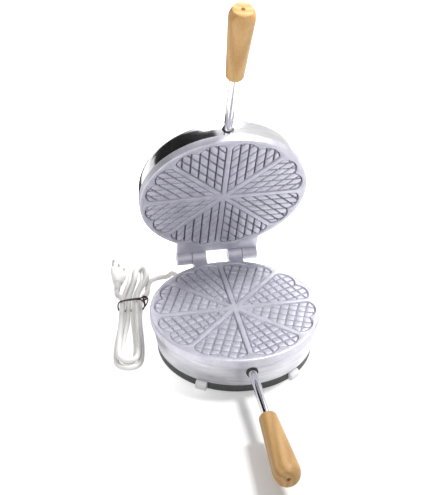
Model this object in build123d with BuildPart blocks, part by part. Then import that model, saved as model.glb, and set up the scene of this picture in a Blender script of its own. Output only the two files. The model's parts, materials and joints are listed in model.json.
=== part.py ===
"""Heart-waffle iron: two cast aluminium plates with a hinge, two turned beech grips on
chromed rods, polished casings and a white mains lead tied up in a hank.

Millimetres. +Z is up, +Y runs to the hinge and -Y along the lower handle. The lid is
modelled standing open. The pieces are drawn with the origin on the table under the middle
of the lower plate, and are written with it under the middle of the iron's own box.
"""
from build123d import *
from math import cos, degrees, pi, radians, sin, sqrt, tan
import os

os.makedirs("parts", exist_ok=True)

# Cooking plates
plate_radius = 100.0
plate_thickness = 11.0
plate_edge_round = 1.6
heart_count = 8
rib_half_width = 3.8
heart_depth = 4.5
heart_draft = 14.0
lobe_radius = 19.5
lobe_centre_reach = 74.9
lobe_centre_turn = 10.2
heart_corner_round = 6.0
pad_height = 3.0
pad_margin = 1.3
pad_slope = 22.0
channel_floor = 1.6
channel_pitch = 10.1
first_cross_channel = 12.0

# Heights and the hinge
lower_face_height = 51.0
parting_gap = 0.3
hinge_reach = 116.0
hinge_height = 50.0
lid_opening = 68.0
knuckle_radius = 8.6
lower_knuckle_inside = 14.0
lower_knuckle_outside = 31.5
knuckle_gap = 0.7
lid_tab_half_width = 51.0
lid_tab_thickness = 8.5
tab_clearance = 1.0
hinge_pin_radius = 2.75
running_clearance = 0.15

# Casings
shell_wall = 1.5
shell_top_radius = 98.0
lower_shell_foot_radius = 92.7
lower_shell_height = 30.5
lower_shell_rim = 8.5
upper_shell_back_radius = 94.7
upper_shell_height = 27.0
shell_corner_round = 4.0
bottom_cover_radius = 92.0
bottom_cover_wall = 3.5
bottom_cover_lift = 0.5
bottom_cover_floor = 1.5
bottom_cover_floor_height = 5.0
foot_width = 13.0
foot_reach = 97.0
foot_depth = 11.0
foot_spread = 35.0
foot_clearance = 0.3
foot_chamfer = 3.0

# Inside
stud_radius = 7.0
stud_screw_radius = 2.5
stud_screw_head = 5.0
element_radius = 60.0
element_tube_radius = 3.5
element_sunk = 2.0
element_sweep = 320.0
clamp_radius = 63.0
clamp_thickness = 1.5
clamp_post_reach = 40.0
clamp_post_radius = 5.0
clamp_screw_radius = 2.0
thermostat_radius = 8.0
thermostat_height = 9.0
terminal_size = (30.0, 18.0, 14.0)
slip = 0.1

# Handles
handle_drop = 19.5
rod_radius = 4.5
rod_spigot_radius = 3.25
lug_half_width = 9.0
lug_inner = 72.0
lug_outer = 88.0
lug_depth = 17.0
nut_height = 5.0
nut_across = 11.0
bush_radius = 6.4
bush_collar_radius = 8.0
bush_inner = 90.0
bush_collar_end = 92.8
bush_end = 98.8
grip_start = 172.0
grip_length = 105.0
grip_neck_radius = 9.4
grip_belly_radius = 14.3
grip_belly_from_end = 13.0
grip_end_radius = 10.5
grip_neck_round = 2.0
grip_bore_depth = 70.0
grip_screw_radius = 2.4
grip_screw_recess_radius = 2.8
grip_screw_recess = 4.0

# Mains lead
cord_radius = 3.25
gland_turn = 112.0
gland_height = 20.0
gland_flange_radius = 8.0
gland_flange = 2.0
gland_neck_radius = 5.5
gland_tip_radius = 3.9
gland_boot = 24.0
hank_middle = (-114.0, 85.0)
hank_turn = -8.5
hank_level = 4.3
hank_layer = 7.2
lead_outer = 10.8
lead_inner = 3.6
tie_wall = 0.9
tie_width = 3.2
tie_clearance = 0.15
twist_radius = 1.9
twist_length = 13.0
plug_boot = 14.0
plug_body = 26.0
plug_face_half_width = 13.0
plug_face_half_thickness = 7.2
plug_roll = 45.0
plug_pin_pitch = 9.5
plug_pin_radius = 2.0
plug_pin_length = 19.0

# Planes of the two cooking faces: x across, y towards the hinge, z out of the metal
opening = radians(lid_opening)
lower_face = Plane.XY.offset(lower_face_height)
lid_up = Vector(0, sin(opening), cos(opening))
lid_back = Vector(0, cos(opening), -sin(opening))
hinge_point = Vector(0, hinge_reach, hinge_height)
closed_face_rise = lower_face_height + parting_gap - hinge_height
upper_face = Plane(
    origin=hinge_point - lid_back * hinge_reach + lid_up * closed_face_rise,
    x_dir=(-1, 0, 0),
    z_dir=-lid_up,
)


def profile_plane(face):
    """The upright plane through a plate's middle: x is radius, y is height over the face."""
    return Plane(origin=face.origin, x_dir=face.x_dir, z_dir=-face.y_dir)


def handle_plane(face):
    """The plane that holds a handle's axis: x runs out along the handle."""
    origin = face.from_local_coords((0, 0, -handle_drop))
    return Plane(origin=origin, x_dir=-face.y_dir, z_dir=-face.x_dir)


def across_handle(face, reach):
    """The plane square to a handle's axis, at a distance from the plate's middle."""
    along = handle_plane(face)
    return Plane(origin=along.from_local_coords((reach, 0, 0)), x_dir=face.x_dir, z_dir=along.x_dir)


def hinge_side_plane(face):
    """The upright plane square to the hinge pin: x runs to the hinge, y out of the face."""
    return Plane(origin=face.origin, x_dir=face.y_dir, z_dir=face.x_dir)


def turned(plane, points, label, rounded=()):
    """A turned piece: a closed profile of (along, radius) points spun about the plane's x."""
    with BuildPart() as piece:
        with BuildSketch(plane) as half:
            with BuildLine():
                Polyline(*points, close=True)
            make_face()
            for corner, radius in rounded:
                fillet(half.vertices().sort_by_distance(corner)[0], radius)
        revolve(axis=Axis(plane.origin, plane.x_dir))
    piece.part.label = label
    return piece


# One heart, with its middle line along x and its tip towards the plate's middle
half_sector = pi / heart_count


def heart_sketch(inset):
    """A heart's outline, drawn in by an inset all round."""
    margin = rib_half_width + inset
    radius = lobe_radius - inset
    turn = radians(lobe_centre_turn)
    centre = (lobe_centre_reach * cos(turn), lobe_centre_reach * sin(turn))
    to_side = lobe_centre_reach * sin(half_sector - turn) - margin
    along = lobe_centre_reach * cos(half_sector - turn) + sqrt(radius**2 - to_side**2)
    tip = (margin / sin(half_sector), 0)
    corner = (
        along * cos(half_sector) + margin * sin(half_sector),
        along * sin(half_sector) - margin * cos(half_sector),
    )
    crown = (centre[0] + radius, centre[1])
    cleft = (centre[0] + sqrt(radius**2 - centre[1] ** 2), 0)
    with BuildSketch() as heart:
        with BuildLine():
            Line(tip, corner)
            ThreePointArc(corner, crown, cleft)
            mirror(about=Plane.XZ)
        make_face()
        corners = heart.vertices().group_by(Axis.Y)
        fillet(corners[0] + corners[-1], heart_corner_round - inset)
    return heart.sketch


channel_top = channel_floor + 2 * (pad_height + slip) * tan(radians(pad_slope))
channel_section = [
    (-channel_floor / 2, 0),
    (channel_floor / 2, 0),
    (channel_top / 2, pad_height + slip),
    (-channel_top / 2, pad_height + slip),
]


def heart_hollow(channels):
    """What is cast away for one heart: its pocket, less the pads that stand in it.

    Each entry of channels is a plane square to its row and the places across it."""
    with BuildPart() as pads:
        with BuildSketch(Plane.XY.offset(-heart_depth)):
            add(heart_sketch(pad_margin))
        with BuildSketch(Plane.XY.offset(pad_height - heart_depth)):
            add(heart_sketch(pad_margin + pad_height * tan(radians(pad_slope))))
        loft(ruled=True)
        for plane, places in channels:
            with BuildSketch(plane):
                with Locations(*[(place, -heart_depth) for place in places]):
                    Polygon(*channel_section, align=None)
            extrude(amount=1.2 * plate_radius, both=True, mode=Mode.SUBTRACT)
    with BuildPart() as pocket:
        with BuildSketch():
            add(heart_sketch(0))
        with BuildSketch(Plane.XY.offset(-heart_depth)):
            add(heart_sketch(heart_depth * tan(radians(heart_draft))))
        loft(ruled=True)
        add(pads.part, mode=Mode.SUBTRACT)
    return pocket.part


half_rows = int(plate_radius * sin(half_sector) / channel_pitch) + 1
square_channels = [
    (Plane.YZ, [row * channel_pitch for row in range(-half_rows, half_rows + 1)]),
    (
        Plane.XZ,
        [
            first_cross_channel + row * channel_pitch
            for row in range(int((plate_radius - first_cross_channel) / channel_pitch))
        ],
    ),
]
slant_rows = range(1, 2 * half_rows)
slanted_channels = []
for side in (1, -1):
    across = Vector(-side * sin(half_sector), cos(half_sector), 0)
    along_side = Vector(cos(half_sector), side * sin(half_sector), 0)
    places = [-side * (rib_half_width + row * channel_pitch) for row in slant_rows]
    slanted_channels.append((Plane(origin=(0, 0, 0), x_dir=across, z_dir=along_side), places))

square_hearts = heart_hollow(square_channels)
slanted_hearts = heart_hollow(slanted_channels)


def cooking_plate(face, hollow, stud_length, rise, span, arm, tab_front, label):
    """A cast plate: hearts in its face, barrels for the pin, and a stud, posts and a lug
    on its back. span is where a barrel starts and ends, arm is its top and its depth."""
    with BuildPart(face) as plate:
        with BuildSketch(face):
            Circle(plate_radius)
        extrude(amount=-plate_thickness)
        fillet(plate.edges().filter_by(GeomType.CIRCLE), plate_edge_round)
        if tab_front:
            tab_root = sqrt(plate_radius**2 - lid_tab_half_width**2) - 4
            with BuildSketch(face):
                with Locations((0, (tab_root + tab_front) / 2)):
                    Rectangle(2 * lid_tab_half_width, tab_front - tab_root)
            extrude(amount=-lid_tab_thickness)
        side = hinge_side_plane(face)
        for near, far in (span, (-span[1], -span[0])):
            with BuildSketch(side.offset(near)):
                with Locations((hinge_reach, rise)):
                    Circle(knuckle_radius)
                with Locations(((arm_root + hinge_reach) / 2, arm[0] - arm[1] / 2)):
                    Rectangle(hinge_reach - arm_root, arm[1])
            extrude(amount=far - near)
        with BuildSketch(side.offset(-span[1])):
            with Locations((hinge_reach, rise)):
                Circle(hinge_pin_radius + running_clearance)
        extrude(amount=2 * span[1], mode=Mode.SUBTRACT)
        back = face.offset(-plate_thickness)
        with BuildSketch(profile_plane(face)):
            with Locations((element_radius, element_sunk - plate_thickness - element_tube_radius)):
                Circle(element_tube_radius + slip)
        revolve(axis=Axis(face.origin, face.z_dir), mode=Mode.SUBTRACT)
        with BuildSketch(back):
            Circle(stud_radius)
        extrude(amount=-stud_length)
        with BuildSketch(back):
            with PolarLocations(clamp_post_reach, 3, start_angle=90):
                Circle(clamp_post_radius)
        extrude(amount=-clamp_drop)
        with BuildSketch(back):
            with Locations((0, -(lug_inner + lug_outer) / 2)):
                RectangleRounded(2 * lug_half_width, lug_outer - lug_inner, 2)
        extrude(amount=-lug_depth)
        with BuildSketch(across_handle(face, lug_inner)):
            Circle(rod_spigot_radius + slip)
        extrude(amount=lug_outer - lug_inner, mode=Mode.SUBTRACT)
        with BuildSketch(face.offset(-plate_thickness - stud_length)):
            Circle(stud_screw_radius + slip)
        extrude(amount=screw_bite, mode=Mode.SUBTRACT)
        with BuildSketch(face.offset(-plate_thickness - clamp_drop)):
            with PolarLocations(clamp_post_reach, 3, start_angle=90):
                Circle(clamp_screw_radius + slip)
        extrude(amount=clamp_drop + 1, mode=Mode.SUBTRACT)
        with PolarLocations(0, heart_count, start_angle=degrees(half_sector)):
            add(hollow, mode=Mode.SUBTRACT)
    plate.part.label = label
    return plate


knuckle_front = hinge_reach - knuckle_radius - tab_clearance
arm_root = plate_radius - 6
clamp_drop = 2 * element_tube_radius - element_sunk
screw_bite = 14.0
lower_stud = lower_face_height - plate_thickness - bottom_cover_floor_height - bottom_cover_floor
upper_stud = upper_shell_height - shell_wall

lower_plate = cooking_plate(
    lower_face,
    square_hearts,
    lower_stud,
    hinge_height - lower_face_height,
    (lower_knuckle_inside, lower_knuckle_outside),
    (-1.5, 9.5),
    0,
    "lower_plate",
)
upper_plate = cooking_plate(
    upper_face,
    slanted_hearts,
    upper_stud,
    closed_face_rise,
    (lower_knuckle_outside + knuckle_gap, lid_tab_half_width),
    (0, 7.0),
    knuckle_front,
    "upper_plate",
)

# Hinge pins
hinge_pins = []
for name, side in (("hinge_pin_left", -1), ("hinge_pin_right", 1)):
    start = Vector(side * (lower_knuckle_inside + 0.5), hinge_reach, hinge_height)
    with BuildPart() as pin:
        with BuildSketch(Plane(origin=start, z_dir=(side, 0, 0))):
            Circle(hinge_pin_radius)
        extrude(amount=lid_tab_half_width - lower_knuckle_inside - 1)
        chamfer(pin.edges().filter_by(GeomType.CIRCLE), 0.5)
    pin.part.label = name
    hinge_pins.append(pin)


def casing(face, height, back_radius, hole_radius, rounding, label):
    """A spun casing that narrows away from its plate, with a flat rim or back."""
    plane = profile_plane(face)
    top = -plate_thickness
    bottom = top - height
    points = [
        (shell_top_radius, top),
        (back_radius, bottom),
        (hole_radius, bottom),
        (hole_radius, bottom + shell_wall),
        (back_radius - shell_wall, bottom + shell_wall),
        (shell_top_radius - shell_wall, top),
    ]
    with BuildPart() as shell:
        with BuildSketch(plane) as half:
            with BuildLine():
                Polyline(*points, close=True)
            make_face()
            outer = half.vertices().sort_by_distance(points[1])[0]
            fillet(outer, rounding)
            inner = half.vertices().sort_by_distance(points[4])[0]
            fillet(inner, max(rounding - shell_wall, 0.5))
        revolve(axis=Axis(face.origin, face.z_dir))
        with BuildSketch(across_handle(face, lug_outer)):
            Circle(bush_radius + slip)
        extrude(amount=plate_radius - lug_outer, mode=Mode.SUBTRACT)
    shell.part.label = label
    return shell


base_shell = casing(
    lower_face,
    lower_shell_height,
    lower_shell_foot_radius,
    lower_shell_foot_radius - lower_shell_rim,
    1.5,
    "base_shell",
)
upper_shell = casing(
    upper_face,
    upper_shell_height,
    upper_shell_back_radius,
    stud_screw_radius + slip,
    shell_corner_round,
    "upper_shell",
)

# Heating elements, clamp discs and their screws
clamp_top = plate_thickness + clamp_drop
elements = []
for face, half_name in ((lower_face, "lower"), (upper_face, "upper")):
    ring = face.offset(element_sunk - plate_thickness - element_tube_radius)
    gap_half = (360 - element_sweep) / 2
    with BuildPart() as element:
        with BuildLine(ring) as loop:
            CenterArc((0, 0), element_radius, 90 + gap_half, element_sweep)
        with BuildSketch(Plane(origin=loop.line @ 0, z_dir=loop.line % 0)):
            Circle(element_tube_radius)
        sweep()
    element.part.label = half_name + "_heating_element"
    with BuildPart() as clamp:
        with BuildSketch(face.offset(-clamp_top)):
            Circle(clamp_radius)
            Circle(stud_radius + slip, mode=Mode.SUBTRACT)
            with PolarLocations(clamp_post_reach, 3, start_angle=90):
                Circle(clamp_screw_radius + slip, mode=Mode.SUBTRACT)
        extrude(amount=-clamp_thickness)
    clamp.part.label = half_name + "_clamp_disc"
    with BuildPart() as screws:
        with BuildSketch(face.offset(-clamp_top - clamp_thickness)):
            with PolarLocations(clamp_post_reach, 3, start_angle=90):
                Circle(2 * clamp_screw_radius)
        extrude(amount=-2.4)
        with BuildSketch(face.offset(-clamp_top - clamp_thickness)):
            with PolarLocations(clamp_post_reach, 3, start_angle=90):
                Circle(clamp_screw_radius)
        extrude(amount=clamp_thickness + clamp_drop)
    screws.part.label = half_name + "_clamp_screws"
    elements += [element, clamp, screws]

# Control and terminals, on the lower clamp disc
control_seat = lower_face.offset(-clamp_top - clamp_thickness)
with BuildPart() as thermostat:
    with BuildSketch(control_seat):
        with Locations((34, 22)):
            Circle(thermostat_radius)
    extrude(amount=-thermostat_height)
    chamfer(thermostat.faces().sort_by(Axis.Z)[0].edges(), 1)
thermostat.part.label = "thermostat"

with BuildPart() as terminal_block:
    with BuildSketch(control_seat):
        with Locations((-34, 22)):
            RectangleRounded(terminal_size[0], terminal_size[1], 2)
    extrude(amount=-terminal_size[2])
    with BuildSketch(control_seat.offset(-terminal_size[2])):
        with Locations((-34, 22)):
            with GridLocations(terminal_size[0] / 3, 0, 3, 1):
                Circle(2)
    extrude(amount=6, mode=Mode.SUBTRACT)
terminal_block.part.label = "terminal_block"

# Feet and bottom cover
foot_angles = {
    "foot_front_left": 270 - foot_spread,
    "foot_front_right": 270 + foot_spread,
    "foot_rear_right": 90 - foot_spread,
    "foot_rear_left": 90 + foot_spread,
}
shell_foot_height = lower_face_height - plate_thickness - lower_shell_height
feet = []
for name, angle in foot_angles.items():
    with BuildPart() as foot:
        outward = Plane.XY.rotated((0, 0, angle))
        with BuildSketch(outward):
            with Locations((foot_reach - foot_depth / 2, 0)):
                Rectangle(foot_depth, foot_width)
        extrude(amount=shell_foot_height)
        outer = foot.faces().sort_by(Axis(outward.origin, outward.x_dir))[-1]
        chamfer(outer.edges().sort_by(Axis.Z)[-1], foot_chamfer)
    foot.part.label = name
    feet.append(foot)

cover_inside = bottom_cover_radius - bottom_cover_wall
cover_floor_top = bottom_cover_floor_height + bottom_cover_floor
with BuildPart() as bottom_cover:
    with BuildSketch(Plane.XZ):
        with BuildLine():
            Polyline(
                (stud_screw_radius + slip, bottom_cover_floor_height),
                (cover_inside, bottom_cover_floor_height),
                (cover_inside, bottom_cover_lift),
                (bottom_cover_radius, bottom_cover_lift),
                (bottom_cover_radius, shell_foot_height),
                (cover_inside, shell_foot_height),
                (cover_inside, cover_floor_top),
                (stud_screw_radius + slip, cover_floor_top),
                close=True,
            )
        make_face()
    revolve(axis=Axis.Z)
    for angle in foot_angles.values():
        with BuildSketch(Plane.XY.rotated((0, 0, angle))):
            with Locations((foot_reach - foot_depth / 2, 0)):
                Rectangle(foot_depth + 2 * foot_clearance, foot_width + 2 * foot_clearance)
        extrude(amount=shell_foot_height, mode=Mode.SUBTRACT)
    with BuildSketch(Plane.XY.offset(bottom_cover_floor_height)):
        for reach in (28, 42, 56):
            with PolarLocations(reach, 12):
                SlotOverall(10, 4, rotation=90)
    extrude(amount=bottom_cover_floor, mode=Mode.SUBTRACT)
bottom_cover.part.label = "bottom_cover"

# Screws that draw the casings against the studs
stud_screws = []
for face, stud, cover, name in (
    (lower_face, lower_stud, bottom_cover_floor, "bottom_screw"),
    (upper_face, upper_stud, shell_wall, "lid_cap_screw"),
):
    seat = face.offset(-plate_thickness - stud - cover)
    with BuildPart() as screw:
        with BuildSketch(seat):
            Circle(stud_screw_head)
        extrude(amount=-3)
        fillet(screw.edges().filter_by(GeomType.CIRCLE).sort_by_distance(face.origin)[-1], 1.2)
        with BuildSketch(seat):
            Circle(stud_screw_radius)
        extrude(amount=cover + screw_bite)
    screw.part.label = name
    stud_screws.append(screw)

# Handles
handles = []
for face, half_name in ((lower_face, "lower"), (upper_face, "upper")):
    axis_plane = handle_plane(face)
    spigot_start = lug_inner - nut_height - 3
    bore_end = grip_start + grip_bore_depth
    rod = turned(
        axis_plane,
        [
            (spigot_start, 0),
            (spigot_start, rod_spigot_radius),
            (lug_outer, rod_spigot_radius),
            (lug_outer, rod_radius),
            (bore_end, rod_radius),
            (bore_end, 0),
        ],
        half_name + "_handle_rod",
    )
    bush = turned(
        axis_plane,
        [
            (bush_inner, rod_radius + slip),
            (bush_inner, bush_collar_radius),
            (bush_collar_end, bush_collar_radius),
            (bush_collar_end, bush_radius),
            (bush_end, bush_radius),
            (bush_end, rod_radius + slip),
        ],
        half_name + "_handle_bush",
    )
    with BuildPart() as nut:
        with BuildSketch(across_handle(face, lug_inner - nut_height)):
            RegularPolygon(nut_across / 2, 6, major_radius=False)
            Circle(rod_spigot_radius + slip, mode=Mode.SUBTRACT)
        extrude(amount=nut_height)
    nut.part.label = half_name + "_handle_nut"
    grip_end = grip_start + grip_length
    screw_seat = grip_end - grip_screw_recess
    with BuildPart() as grip:
        with BuildSketch(axis_plane) as outline:
            with BuildLine():
                neck = (grip_start, grip_neck_radius)
                belly = (grip_end - grip_belly_from_end, grip_belly_radius)
                Polyline((grip_start, rod_radius + slip), neck, belly)
                TangentArc(belly, (grip_end, grip_end_radius), tangent=(
                    belly[0] - neck[0], belly[1] - neck[1]))
                Polyline(
                    (grip_end, grip_end_radius),
                    (grip_end, grip_screw_recess_radius),
                    (screw_seat, grip_screw_recess_radius),
                    (screw_seat, grip_screw_radius + slip),
                    (bore_end + slip, grip_screw_radius + slip),
                    (bore_end + slip, rod_radius + slip),
                    (grip_start, rod_radius + slip),
                )
            make_face()
            fillet(outline.vertices().sort_by_distance(axis_plane.from_local_coords(neck))[0],
                   grip_neck_round)
        revolve(axis=Axis(axis_plane.origin, axis_plane.x_dir))
    grip.part.label = half_name + "_handle_grip"
    grip_screw = turned(
        axis_plane,
        [
            (bore_end + slip, 0),
            (bore_end + slip, grip_screw_radius),
            (screw_seat + 1, grip_screw_radius),
            (screw_seat + 1, 0),
        ],
        half_name + "_grip_screw",
    )
    handles += [rod, bush, nut, grip, grip_screw]

# Cord gland, snapped into the lower casing
gland_angle = radians(gland_turn)
gland_out = Vector(cos(gland_angle), sin(gland_angle), 0)
gland_plane = Plane(origin=(0, 0, gland_height), x_dir=gland_out, z_dir=(gland_out.Y, -gland_out.X, 0))
shell_slope = (shell_top_radius - lower_shell_foot_radius) / lower_shell_height
shell_at_gland = lower_shell_foot_radius + shell_slope * (gland_height - shell_foot_height)
gland_seat = shell_at_gland + shell_slope * gland_flange_radius
gland_tip = gland_seat + gland_flange + gland_boot
cord_gland = turned(
    gland_plane,
    [
        (shell_at_gland - 9, 0),
        (shell_at_gland - 9, gland_neck_radius + 1.5),
        (shell_at_gland - 5, gland_neck_radius + 1.5),
        (shell_at_gland - 5, gland_neck_radius),
        (gland_seat, gland_neck_radius),
        (gland_seat, gland_flange_radius),
        (gland_seat + gland_flange, gland_flange_radius),
        (gland_seat + gland_flange, gland_neck_radius),
        (gland_tip, gland_tip_radius),
        (gland_tip, 0),
    ],
    "cord_gland",
)
with BuildPart() as gland_hole:
    with BuildSketch(Plane(origin=gland_plane.from_local_coords((lug_inner, 0, 0)), z_dir=gland_out)):
        Circle(gland_neck_radius + slip)
    extrude(amount=plate_radius - lug_inner)
with BuildPart() as holed_shell:
    add(base_shell.part)
    add(gland_hole.part, mode=Mode.SUBTRACT)
holed_shell.part.label = "base_shell"
base_shell = holed_shell

# The hank: one unbroken tube in two layers, drawn in at its tie. Its own frame has x
# across the runs and y along them, away from the plug's side of the tie.
hank = Plane(
    origin=(hank_middle[0], hank_middle[1], 0),
    x_dir=(cos(radians(hank_turn)), sin(radians(hank_turn)), 0),
    z_dir=(0, 0, 1),
)
low = hank_level
high = hank_level + hank_layer
lead_side = 20.0
lead_start = 34.0
waist_half = 6.0
bottom_outer = (15.2, -100.0)
bottom_inner = (8.0, -97.0)
bottom_upper = (11.6, -99.0)
top_left = -3.0
top_right = 13.0
top_reach = 76.0
upper_left = 4.0
upper_right = 19.0
upper_reach = 70.0
upper_waist = (7.2, -10.8)
plug_side = -18.5
plug_start = 22.0
end_straight = 2 * cord_radius

# Runs as (across, along, level); each run is an S of two arcs, each turn a half circle
hank_runs = [
    [(lead_side, lead_start, low), (lead_outer, waist_half, low)],
    [(lead_outer, waist_half, low), (lead_outer, -waist_half, low)],
    [(lead_outer, -waist_half, low), (*bottom_outer, low)],
    [(-bottom_outer[0], bottom_outer[1], low), (-lead_outer, -waist_half, low)],
    [(-lead_outer, -waist_half, low), (-lead_outer, waist_half, low)],
    [(-lead_outer, waist_half, low), (top_left, top_reach, low)],
    [(top_right, top_reach, low), (lead_inner, waist_half, low)],
    [(lead_inner, waist_half, low), (lead_inner, -waist_half, low)],
    [(lead_inner, -waist_half, low), (*bottom_inner, low)],
    [(-bottom_inner[0], bottom_inner[1], low), (-lead_inner, -waist_half, low)],
    [(-lead_inner, -waist_half, low), (-lead_inner, waist_half, low)],
    [(-lead_inner, waist_half, low), (upper_left, upper_reach, high)],
    [(upper_right, upper_reach, high), (upper_waist[0], waist_half, high)],
    [(upper_waist[0], waist_half, high), (upper_waist[0], -waist_half, high)],
    [(upper_waist[0], -waist_half, high), (*bottom_upper, high)],
    [(-bottom_upper[0], bottom_upper[1], high), (upper_waist[1], -waist_half, high)],
    [(upper_waist[1], -waist_half, high), (upper_waist[1], waist_half, high)],
    [(upper_waist[1], waist_half, high), (plug_side, plug_start, high)],
]


def lead_tube(first, towards, label, line):
    """A round tube of the lead's own section along a line."""
    with BuildPart() as tube:
        with BuildSketch(Plane(origin=first, z_dir=towards)):
            Circle(cord_radius)
        sweep(path=line)
    tube.part.label = label
    return tube


with BuildLine() as hank_line:
    start = hank.from_local_coords((lead_side, lead_start + end_straight, low))
    Line(start, hank.from_local_coords(hank_runs[0][0]))
    for here, (begin, end) in enumerate(hank_runs):
        heading = hank.y_dir * (1 if end[1] > begin[1] else -1)
        places = [hank.from_local_coords(point) for point in (begin, end)]
        middle = (places[0] + places[1]) / 2
        if begin[0] == end[0]:
            Line(*places)
        else:
            TangentArc(places[0], middle, tangent=heading)
            TangentArc(places[1], middle, tangent=-heading)
        following = hank_runs[here + 1][0] if here + 1 < len(hank_runs) else end
        if following != end:
            TangentArc(places[1], hank.from_local_coords(following), tangent=heading)
    finish = hank.from_local_coords((plug_side, plug_start + end_straight, high))
    Line(hank.from_local_coords(hank_runs[-1][1]), finish)
cord_hank = lead_tube(start, -hank.y_dir, "cord_hank", hank_line.wires()[0])

# The least gap of the hank to itself, measured on points along its line
hank_wire = hank_line.wires()[0]
steps = int(hank_wire.length / 2)
trail = [hank_wire.position_at(step / steps) for step in range(steps + 1)]
skip = int(6 * cord_radius)
hank_gap = min(
    (trail[one] - trail[two]).length
    for one in range(steps + 1)
    for two in range(one + skip, steps + 1)
) - 2 * cord_radius
print(f"hank: {hank_wire.length:.0f} mm of lead, least gap to itself {hank_gap:.2f} mm")

# The lead's free stretch, from the gland down to the table and round to the hank
lead_points = [
    gland_plane.from_local_coords((gland_tip, 0, 0)),
    gland_plane.from_local_coords((gland_tip + 14, 0, 0)),
    Vector(-59, 140, 8),
    Vector(-71, 147.5, 3.6),
    Vector(-82, 142.5, 3.8),
    start + hank.y_dir * 10,
    start,
]
lead_radii = []
for before, corner, after in zip(lead_points, lead_points[1:], lead_points[2:]):
    turn = (corner - before).get_angle(after - corner)
    shorter = min((corner - before).length, (after - corner).length)
    lead_radii.append(0.45 * shorter / tan(radians(turn / 2)))
print("lead bend radii:", [round(radius, 1) for radius in lead_radii])
with BuildLine() as lead_line:
    FilletPolyline(*lead_points, radius=lead_radii)
power_cord = lead_tube(
    lead_points[0], lead_points[1] - lead_points[0], "power_cord", lead_line.wires()[0]
)
section = pi * cord_radius**2
for tube, wire in ((power_cord, lead_line.wires()[0]), (cord_hank, hank_wire)):
    print(f"{tube.part.label}: volume over section x length {tube.part.volume / section / wire.length:.4f}")

# Twist tie round the waist of the hank
waist_bottom = low - cord_radius - tie_clearance
waist_top = high + cord_radius + tie_clearance
waist_width = 2 * (lead_outer + cord_radius + tie_clearance)
with BuildPart() as cord_tie:
    tie_middle = (waist_bottom + waist_top) / 2
    tie_plane = Plane(
        origin=hank.from_local_coords((0, -tie_width / 2, tie_middle)),
        x_dir=hank.x_dir,
        z_dir=-hank.y_dir,
    )
    with BuildSketch(tie_plane):
        RectangleRounded(
            waist_width + 2 * tie_wall, waist_top - waist_bottom + 2 * tie_wall, cord_radius
        )
        RectangleRounded(
            waist_width, waist_top - waist_bottom, cord_radius - tie_wall, mode=Mode.SUBTRACT
        )
    extrude(amount=-tie_width)
    twist_start = (1.0, 0, waist_top + tie_wall + twist_radius - 0.2)
    with BuildSketch(Plane(origin=hank.from_local_coords(twist_start), z_dir=hank.x_dir)):
        Circle(twist_radius)
    extrude(amount=twist_length)
cord_tie.part.label = "cord_tie"

# Plug: a moulded body, oval at its face, rolled over on the table
roll = radians(plug_roll)
plug_across = hank.x_dir * cos(roll) - Vector(0, 0, 1) * sin(roll)


def plug_plane(reach):
    """The plane square to the plug's axis, at a distance from the lead's end."""
    origin = hank.from_local_coords((plug_side, plug_start + end_straight + reach, high))
    return Plane(origin=origin, x_dir=plug_across, z_dir=hank.y_dir)


with BuildPart() as plug_sleeve:
    with BuildSketch(plug_plane(0)):
        Circle(cord_radius + 0.5)
    with BuildSketch(plug_plane(plug_boot)):
        Circle(cord_radius + 1.6)
    loft()
    with BuildSketch(plug_plane(plug_boot)):
        Ellipse(cord_radius + 2.2, cord_radius + 2.0)
    with BuildSketch(plug_plane(plug_boot + 0.45 * plug_body)):
        Ellipse(0.72 * plug_face_half_width, 0.95 * plug_face_half_thickness)
    with BuildSketch(plug_plane(plug_boot + plug_body)):
        Ellipse(plug_face_half_width, plug_face_half_thickness)
    loft()
plug_sleeve.part.label = "plug_body"

with BuildPart() as plug_pins:
    with BuildSketch(plug_plane(plug_boot + plug_body)):
        with GridLocations(plug_pin_pitch, 0, 3, 1):
            Circle(plug_pin_radius)
    extrude(amount=plug_pin_length)
    chamfer(plug_pins.faces().sort_by(Axis(hank.origin, hank.y_dir))[-3:].edges(), 0.6)
plug_pins.part.label = "plug_pins"

iron = [lower_plate, upper_plate, *hinge_pins, base_shell, upper_shell, *elements, cord_gland]
iron += [thermostat, terminal_block, *feet, bottom_cover, *stud_screws, *handles]
lead = [power_cord, cord_hank, cord_tie, plug_sleeve, plug_pins]

# Written with the origin under the middle of the iron's box, its lead left out
boxes = [piece.part.bounding_box() for piece in iron]
middle = (min(box.min.Y for box in boxes) + max(box.max.Y for box in boxes)) / 2
print(f"middle of the iron's box, from the middle of the lower plate: {middle:.4f} mm")
for piece in iron + lead:
    placed = piece.part.moved(Location((0, -middle, 0)))
    placed.label = piece.part.label
    export_step(placed, f"parts/{placed.label}.step")
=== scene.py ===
# %% [markdown]
# A heart-waffle iron, dressed in Blender. Two cast aluminium plates open on a hinge, each
# backed by a spun casing, with a beech grip on a plated rod and a white lead tied up in a
# hank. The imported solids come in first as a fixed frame. Everything made below sits where
# they say, in metres, and rides with the base or with the lid.

# %% Load the frame
import json
import math

import bmesh
import bpy
from mathutils import Matrix, Vector

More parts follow.
